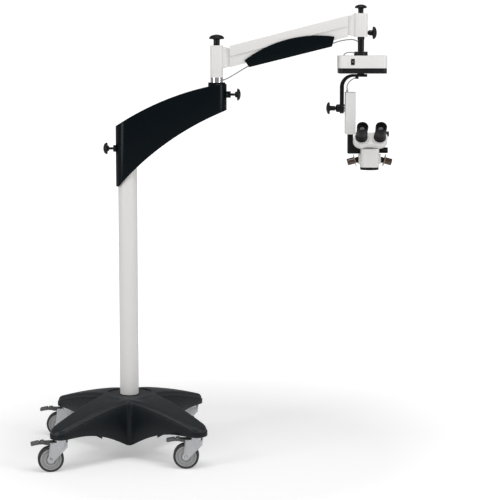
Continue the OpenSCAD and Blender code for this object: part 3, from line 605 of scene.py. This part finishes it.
def castor(k):
    """Finish of castor k: wheel, fork, axle bolts and pedal."""
    wheel, fork, brake = f"castor_wheel_{k}", f"castor_fork_{k}", f"castor_brake_{k}"
    roll = joints[f"wheel_{k}_roll"]
    axis, centre = Vector(roll["axis"]), Vector(roll["pos_m"])
    r, half, lip = 50 * mm, 16 * mm, 5 * mm
    seat = r - 10 * mm
    tread = corner(r - lip, half - lip, lip, 0)
    tread += [(seat + 1 * mm, half), (seat, half - 1 * mm), (seat, 1 * mm - half),
              (seat + 1 * mm, -half)]
    tread += corner(r - lip, lip - half, lip, 270)
    lathe(wheel + "_tread", tread, centre, axis, tread_grey, f"wheel_{k}")
    rings = [(5.05 * mm, half)]
    draft = 0.8
    for inner, outer, sink in ((13, 15, 0), (16, 21, 3), (23, 25, 0.6), (27, 36, 3.6)):
        rings += [(inner * mm, half), ((inner + draft) * mm, half - sink * mm),
                  ((outer - draft) * mm, half - sink * mm), (outer * mm, half)]
    rings += [(r - 9.6 * mm, half - 0.3 * mm)]
    rim = rings + [(radius, -h) for radius, h in reversed(rings)]
    made = lathe(wheel + "_rim", rim, centre, axis, rim_grey, f"wheel_{k}")
    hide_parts(wheel)
    soften(fork, 0.7 * mm, zinc, steps=2)
    for side in (-1, 1):
        hex_bolt(f"castor_{k}_bolt_{'front' if side < 0 else 'back'}",
                 centre + axis * side * 23 * mm, axis * side, 11 * mm, 4.6 * mm, zinc,
                 f"castor_{k}")
    soften(brake, 1.6 * mm, pedal_grey, steps=3)
    turn = Matrix.Rotation(math.atan2(-axis.x, axis.y), 3, "Z")
    hinge = Vector(joints[f"brake_{k}_press"]["pos_m"])
    for name, out, up, dip, size in (("press", 66, 1.5, 11, (33, 31, 12)),
                                     ("release", 39, 4.5, 4, (17, 31, 13))):
        bar(f"pedal_{k}_{name}", Vector(size) * mm,
            hinge + turn @ Vector((-out * mm, 0, up * mm)),
            turn @ Matrix.Rotation(math.radians(-dip), 3, "Y"), 3.6 * mm, lever_grey,
            f"brake_{k}")


def bar(name, size, at, turn, radius, material, body, steps=3):
    """Small block with rounded edges, turned by a 3 x 3 matrix about its middle."""
    work = bmesh.new()
    bmesh.ops.create_cube(work, size=1)
    bmesh.ops.scale(work, vec=size, verts=work.verts)
    bmesh.ops.bevel(work, geom=work.edges[:], offset=radius, offset_type="OFFSET",
                    segments=steps, profile=0.5, affect="EDGES")
    bmesh.ops.transform(work, matrix=Matrix.Translation(at) @ turn.to_4x4(), verts=work.verts)
    mesh = bpy.data.meshes.new(name)
    work.to_mesh(mesh)
    work.free()
    return piece(name, mesh, material, body)


for k in range(1, 5):
    castor(k)


# --- Swing arm -------------------------------------------------------------
# A cast aluminium beam turns on the column's spindle and carries the second swivel at its
# nose. Its moulded cover is cut like a sail; a clamping knob at each end holds the swivels.
sail_black = finish("sail_moulding", (0.0014, 0.0045, 0.0068), (0.0007, 0.0027, 0.0042),
                    (0.24, 0.32), patch=3.5, grain=1500, bump=0.03, depth=0.03,
                    Specular_IOR_Level=0.12, Coat_Weight=0.04, Coat_Roughness=0.14)
cast_alloy = finish("blasted_alloy", (0.4, 0.4, 0.41), (0.3, 0.3, 0.31), (0.4, 0.55), patch=25,
                    grain=900, bump=0.4, depth=0.12, Metallic=1.0)
knob_black = finish("knob_moulding", (0.006, 0.007, 0.008), (0.003, 0.0035, 0.004), (0.22, 0.34),
                    patch=20, grain=1200, bump=0.06, depth=0.04, worn=(0.04, 0.04, 0.04),
                    amount=0.4, Specular_IOR_Level=0.22,
                    Coat_Weight=0.05, Coat_Roughness=0.15)
soften("swing_cover", 2.6 * mm, sail_black, steps=4)
coat("swing_beam", cast_alloy)


def mushroom(node, disc_d, disc_h, neck_d, neck_h, shank_r, shank_h, out):
    """Clamping knob: a domed disc with a thick rolled rim on a neck that flares into it, and the
    screw below its seat. out points away from the seat."""
    out = Vector(out)
    low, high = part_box(node)
    middle = (low + high) / 2
    top = max(out.dot(low), out.dot(high))
    seat = middle + out * (top - disc_h - neck_h - out.dot(middle))
    r, lip = disc_d / 2, disc_h * 0.24
    rise = disc_h * 0.5
    dome = (r * r + rise * rise) / (2 * rise)
    crown = neck_h + disc_h
    profile = [(0, -shank_h), (shank_r, -shank_h), (shank_r, 0), (neck_d / 2 - 0.6 * mm, 0),
               (neck_d / 2, 0.6 * mm)]
    flare = min(neck_h * 0.5, 5 * mm)
    profile += [(neck_d / 2 + flare * (1 - math.cos(a)), neck_h - flare * (1 - math.sin(a)))
                for a in [k * math.pi / 10 for k in range(6)]]
    profile += corner(r - lip, neck_h + lip, lip, 270)
    profile += corner(r - lip, neck_h + disc_h - rise - lip, lip, 0)[:-1]
    edge = math.asin((r - lip) / dome)
    for n in range(12, -1, -1):
        a = edge * n / 12
        profile.append((dome * math.sin(a), crown - dome * (1 - math.cos(a))))
    made = lathe(node + "_finished", profile, seat, out, knob_black, body_of(node))
    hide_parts(node)
    return seat


mushroom("swing_knob_rear", 47 * mm, 16.8 * mm, 22 * mm, 6.1 * mm, 5 * mm, 53.6 * mm, (-1, 0, 0))
mushroom("swing_knob_front", 48 * mm, 15 * mm, 22 * mm, 8 * mm, 5 * mm, 54.8 * mm, (1, 0, 0))


# --- First arm bracket -----------------------------------------------------
# A painted casting that turns on a steel pin in the swing arm's nose, over a polished
# collar. Two cheeks reach forward from it and hold the spring arm's first pivots.
chrome = finish("polished_chrome", (0.86, 0.86, 0.87), (0.78, 0.78, 0.8), (0.04, 0.09), patch=18,
                grain=1600, bump=0.03, depth=0.02, Metallic=1.0)
coat("bracket_1_collar", chrome)
soften("bracket_1", 1.9 * mm, white_paint, steps=3)
coat("bracket_1_pins", white_paint)
mushroom("bracket_1_knob", 60 * mm, 18.5 * mm, 25 * mm, 24 * mm, 4 * mm, 24 * mm, (0, 0, 1))


# --- Spring arm ------------------------------------------------------------
# Two nested pressed-steel channels make a parallelogram that keeps the second bracket
# upright. The balance spring lies inside, and a black cover below guides the leads.
soften("upper_link", 2.2 * mm, white_paint, steps=4)
soften("lower_link", 1.4 * mm, white_paint, steps=3)
soften("cable_cover", 2.2 * mm, sail_black, steps=4)
oiled = finish("spring_steel", (0.33, 0.33, 0.34), (0.2, 0.2, 0.21), (0.25, 0.4), patch=30,
               grain=1500, bump=0.2, depth=0.04, Metallic=1.0)
coat("balance_spring", oiled)


def curve_through(points, steps=6):
    """Catmull-Rom curve through given points."""
    out = []
    for i in range(len(points) - 1):
        a, b = points[max(i - 1, 0)], points[i]
        c, d = points[i + 1], points[min(i + 2, len(points) - 1)]
        for k in range(steps):
            t = k / steps
            out.append(0.5 * (2 * b + (c - a) * t + (2 * a - 5 * b + 4 * c - d) * t * t
                              + (3 * b - a - 3 * c + d) * t ** 3))
    return out + [points[-1]]


def lead(name, points, radius, material, sides=16):
    """Flexible lead swept along a smooth route; it still has to be given a body."""
    route = curve_through([Vector(p) * mm + Vector((column.x, 0, 0)) for p in points])
    rings = []
    for i, p in enumerate(route):
        along = (route[min(i + 1, len(route) - 1)] - route[max(i - 1, 0)]).normalized()
        u = along.cross(Vector((0, 1, 0))).normalized()
        v = along.cross(u)
        rings.append([p + radius * (math.cos(a) * u + math.sin(a) * v)
                      for a in [2 * math.pi * k / sides for k in range(sides)]])
    mesh = loft(rings, closed=False, caps=True)
    mesh.name = name
    mesh.materials.append(material)
    for face in mesh.polygons:
        face.use_smooth = True
    made = bpy.data.objects.new(name, mesh)
    bpy.context.scene.collection.objects.link(made)
    return made, route


lead_grey = finish("lead_jacket", (0.4, 0.4, 0.41), (0.33, 0.33, 0.34), (0.4, 0.55),
                   patch=30, grain=900, bump=0.15, depth=0.05)
first_route = [(378.6, -8, 1494.5), (388, -8, 1497.5), (400, -8, 1503), (416, -8, 1512),
               (436, -8, 1524), (456, -8, 1536), (470, -8, 1544.5), (480.5, -8, 1550)]
second_route = [(807.5, -8, 1637), (820, -8, 1641.5), (834, -8, 1646), (852, -8, 1650),
                (870, -8, 1652.5), (886, -8, 1653), (898, -8, 1650.5), (904, -8, 1647.5),
                (908.4, -8, 1644.5)]
lead_radius = 2.4 * mm
first_lead, path = lead("arm_lead_first", first_route, lead_radius, lead_grey)
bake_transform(first_lead)
second_lead, path = lead("arm_lead_second", second_route, lead_radius, lead_grey)
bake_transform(second_lead)
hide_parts("arm_leads")


# --- Second arm bracket ----------------------------------------------------
# The far casting, kept upright by the parallelogram. It holds the drop sleeve, a knob on
# top that sets the spring's force, and a knob at the side that clamps the drop spindle.
satin_black = finish("satin_black_paint", (0.007, 0.0075, 0.0085), (0.004, 0.0045, 0.005),
                     (0.3, 0.44), patch=10, grain=900, bump=0.12, depth=0.05,
                     worn=(0.06, 0.06, 0.06), amount=0.3, Specular_IOR_Level=0.2)
soften("bracket_2", 1.9 * mm, white_paint, steps=3)
coat("bracket_2_pins", white_paint)
mushroom("bracket_2_knob", 48 * mm, 15 * mm, 21 * mm, 19.6 * mm, 4 * mm, 20 * mm, (0, 0, 1))
side_seat = mushroom("side_knob", 50 * mm, 16.1 * mm, 21 * mm, 14.8 * mm, 4 * mm, 21.3 * mm,
                     (1, 0, 0))
lathe("side_knob_nut", [(0, -6.4 * mm), (4.4 * mm, -6.4 * mm), (10.4 * mm, 0), (0, 0)],
      side_seat, (1, 0, 0), knob_black, "side_knob", steps=6, angle=20)
coat("spindle_sleeve", satin_black)


# --- Light and power unit --------------------------------------------------
# A white moulded case over a black base, with a rocker switch on its front. It hangs by
# its flanged spindle from the sleeve, and the carrier turns under it.
case_white = finish("case_moulding", (0.86, 0.855, 0.845), (0.81, 0.805, 0.795), (0.32, 0.44),
                    patch=5, grain=1400, bump=0.2, depth=0.05)
base_black = finish("base_moulding", (0.006, 0.0065, 0.0075), (0.0035, 0.0035, 0.0045), (0.36, 0.5),
                     patch=8, grain=1500, bump=0.15, depth=0.05, Specular_IOR_Level=0.3)
soften("light_case", 4.2 * mm, case_white, steps=4,
       where=lambda p: p.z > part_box("light_case")[1].z - 1 * mm)
soften("light_base", 1.4 * mm, base_black, steps=3)
soften("light_switch", 0.6 * mm, base_black)
coat("light_spindle", satin_black)
board = finish("lamp_board", (0.03, 0.16, 0.07), (0.02, 0.11, 0.05), (0.35, 0.5), patch=60)
coat("lamp_module", board)

case_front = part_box("light_case")[0].y
switch_low, switch_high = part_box("light_switch")
switch = (switch_low + switch_high) / 2
bezel = ((14.6, 1.6, 0, 1), (14.6, 1.6, 0, -1), (1.4, 23.4, 1, 0), (1.4, 23.4, -1, 0))
for n, (wide, tall, sx, sz) in enumerate(bezel):
    bar(f"switch_bezel_{n + 1}", (wide * mm, 1.8 * mm, tall * mm),
        Vector((switch.x + sx * 6.6 * mm, case_front - 0.4 * mm, switch.z + sz * 10.9 * mm)),
        Matrix.Identity(3), 0.5 * mm, base_black, "light_unit")
mark_white = finish("mark_white", (0.75, 0.75, 0.74), (0.7, 0.7, 0.69), (0.4, 0.5))
lathe("switch_dot", [(0, 0), (1.5 * mm, 0), (1.2 * mm, 0.35 * mm), (0, 0.4 * mm)],
      Vector((switch.x, switch_low.y + 0.05 * mm, switch.z)), (0, -1, 0), mark_white,
      "light_switch", steps=24)
light_route = [(897.5, -12, 1600.5), (886, -12, 1602.5), (874, -12, 1603), (864, -12, 1601.5),
               (857, -12, 1597.5), (852, -12, 1590.2)]
light_lead, path = lead("light_lead_jacket", light_route, lead_radius, lead_grey)
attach(light_lead, "light_unit")
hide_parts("light_lead")


# --- Carrier ---------------------------------------------------------------
# A bent flat bar of black-painted steel. Its top turns on a pin under the light unit, and
# its lower end is a round boss that holds the tilt shaft between friction washers.
soften("carrier_arm", 1.2 * mm, satin_black, steps=3)
mushroom("tilt_knob", 48.6 * mm, 14.1 * mm, 19 * mm, 21.2 * mm, 4 * mm, 2.8 * mm, (-1, 0, 0))
optics_route = [(868.2, 0, 1458.6), (867, 0, 1466), (869, -1, 1476), (874, -2, 1485),
                (883, -2, 1493.5), (892, -1, 1499.5), (900.3, 0, 1502.5)]
optics_lead, path = lead("optics_lead_jacket", optics_route, 2 * mm, lead_grey)
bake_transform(optics_lead)
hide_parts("optics_lead")


# --- Tilting body ----------------------------------------------------------
# A moulded housing over the tilt shaft, and a black milled bracket on its foot that
# reaches forward under the binocular and carries the optics.
soften("tilt_housing", 2.6 * mm, case_white, steps=4)
coat("tilt_shaft", steel)
soften("optics_bracket", 1.0 * mm, satin_black, steps=3)


# --- Optics ----------------------------------------------------------------
# The zoom body: a painted die casting with round upright corners, a turning ring round the
# objective below it, the magnification knob at its side, and a smoky handle on each side.
soften("optics_body", 1.8 * mm, white_paint, steps=3)
soften("focus_ring", 0.8 * mm, satin_black, steps=2)
lens_glass = finish("coated_glass", (0.05, 0.03, 0.08), (0.03, 0.05, 0.09), (0.02, 0.04),
                    patch=9, grain=200, bump=0.0, Coat_Weight=1.0, Coat_Roughness=0.02,
                    Specular_IOR_Level=0.8)
coat("objective_lens", lens_glass)


def grip_wheel(node, ribs, depth):
    """Turned knob with fine lengthwise ribs round its rim, revolved about X."""
    low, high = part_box(node)
    middle, r = (low + high) / 2, (high.z - low.z) / 2
    length = high.x - low.x
    steps = ribs * 4
    profile = [(0.35, 0), (0.35, 0.24), (0.92, 0.25), (1, 0.29), (1, 0.93), (0.97, 0.98),
               (0.9, 1), (0.0, 1)]
    rings = []
    for share, along in profile:
        x = low.x + along * length
        ring = []
        for k in range(steps):
            a = 2 * math.pi * k / steps
            cut = depth * (0.5 - 0.5 * math.cos(ribs * a)) if 0.9 < share and along < 1 else 0
            radius = max(share * r - cut, 0.2 * mm)
            ring.append((x, middle.y + radius * math.cos(a), middle.z + radius * math.sin(a)))
        rings.append(ring)
    mesh = loft(rings, closed=False, caps=True)
    made = piece(node + "_ribbed", mesh, knob_black, body_of(node), angle=50)
    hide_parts(node)


grip_wheel("zoom_knob", 36, 0.7 * mm)

smoke = finish("smoky_plastic", (0.085, 0.042, 0.022), (0.045, 0.022, 0.012), (0.1, 0.18),
               patch=24, grain=500, bump=0.04, depth=0.05, Coat_Weight=0.6, Coat_Roughness=0.06,
               Transmission_Weight=0.25, IOR=1.49)
amber = finish("flange_plastic", (0.52, 0.4, 0.27), (0.4, 0.29, 0.19), (0.12, 0.2), patch=30,
               grain=500, bump=0.04, depth=0.05, Coat_Weight=0.5, Coat_Roughness=0.08,
               Transmission_Weight=0.3, IOR=1.49)


def handle(side):
    """Drooping grip: a black hub, a thin flange disc and a smoky cap with a rounded end."""
    node = f"handle_{side}"
    joint = joints[node + "_turn"]
    axis = Vector(joint["axis"])
    seat = Vector(joint["pos_m"]) + axis * 0.4 * mm
    droop = math.radians(15)
    tilt = axis * math.cos(droop) + Vector((0, 0, -1)) * math.sin(droop)
    knee = seat + axis * 8 * mm
    hub = lathe(node + "_hub", [(0, 0)] + corner(11 * mm, 1 * mm, 1 * mm, 270) +
                [(12 * mm, 7 * mm), (10.5 * mm, 8.2 * mm), (0, 8.2 * mm)],
                seat, axis, base_black, node)
    lathe(node + "_neck", [(0, -3.5 * mm), (10 * mm, -3.5 * mm), (10 * mm, 5 * mm), (0, 5 * mm)],
          knee, tilt, base_black, node)
    flange = [(0, 5 * mm), (18 * mm, 5 * mm)] + corner(23.2 * mm, 6.25 * mm, 1.1 * mm, 270)
    flange += corner(23.2 * mm, 6.4 * mm, 1.1 * mm, 0) + [(18 * mm, 7.4 * mm), (0, 7.4 * mm)]
    lathe(node + "_flange", flange, knee, tilt, amber, node)
    cap = [(0, 7.5 * mm), (12.6 * mm, 7.5 * mm), (13.4 * mm, 8.4 * mm), (13.4 * mm, 33 * mm)]
    cap += corner(10.6 * mm, 33.8 * mm, 2.8 * mm, 0)[1:] + [(0, 36.9 * mm)]
    lathe(node + "_cap", cap, knee, tilt, smoke, node)
    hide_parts(node)


handle("left")
handle("right")


# --- Binocular -------------------------------------------------------------
# Two white lobes that hold the prisms, hinged on the zoom body. Each carries a tube that
# slides for the eye distance, an eyepiece that turns for the dioptre, and a soft eyecup.
soften("binocular_body", 1.6 * mm, white_paint, steps=3)
for node in ("tube_left", "tube_right"):
    soften(node, 0.9 * mm, satin_black, steps=2)
soften("ipd_knob", 1.2 * mm, knob_black)
eye_glass = finish("eye_lens", (0.012, 0.008, 0.02), (0.006, 0.006, 0.012), (0.06, 0.1), patch=40,
                   grain=200, bump=0.0, Specular_IOR_Level=0.35)


def eyepiece(side):
    """Knurled barrel, dioptre ring and a folded-down rubber eyecup round the eye lens."""
    node = f"eyepiece_{side}"
    joint = joints[f"dioptre_{side}"]
    at, axis = Vector(joint["pos_m"]), Vector(joint["axis"])
    barrel = [(19.1 * mm, 6.4 * mm)] + corner(21.5 * mm, 7.4 * mm, 1 * mm, 270)
    for n in range(9):
        h = (10 + 2 * n) * mm
        barrel += [(22.5 * mm, h), (22.5 * mm, h + 1 * mm), (21.9 * mm, h + 1.3 * mm),
                   (21.9 * mm, h + 1.7 * mm)]
    barrel += [(22.5 * mm, 28 * mm), (21.5 * mm, 28.6 * mm), (21.5 * mm, 60 * mm),
               (19.1 * mm, 60 * mm)]
    made = lathe(node + "_barrel", barrel, at, axis, satin_black, node)
    cup = [(18 * mm, 58 * mm), (21.3 * mm, 58.4 * mm), (22.1 * mm, 61 * mm), (22.4 * mm, 66 * mm),
           (22.4 * mm, 77 * mm)] + corner(20.9 * mm, 78.3 * mm, 1.6 * mm, 0) + [
           (19 * mm, 79.4 * mm), (17.4 * mm, 76 * mm), (16.4 * mm, 70 * mm), (16 * mm, 62 * mm)]
    lathe(node + "_cup", cup, at, axis, rubber_and_shade_black, node)
    ring = [(9 * mm, 60.5 * mm), (16.5 * mm, 60.5 * mm), (16.5 * mm, 67 * mm), (14.5 * mm, 68 * mm),
            (12.6 * mm, 66.4 * mm), (12 * mm, 64.5 * mm), (9 * mm, 64 * mm)]
    lathe(node + "_lens_ring", ring, at, axis, satin_black, node)
    dome = [(0, 60 * mm)] + [(12.4 * mm, 60 * mm), (12.4 * mm, 64.4 * mm)]
    dome += [(12.4 * math.cos(a) * mm, (64.4 + 2.2 * math.sin(a)) * mm)
             for a in [k * math.pi / 12 for k in range(1, 7)]]
    dome[-1] = (0, 66.6 * mm)
    lathe(node + "_lens", dome, at, axis, eye_glass, node)
    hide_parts(node)


eyepiece("left")
eyepiece("right")
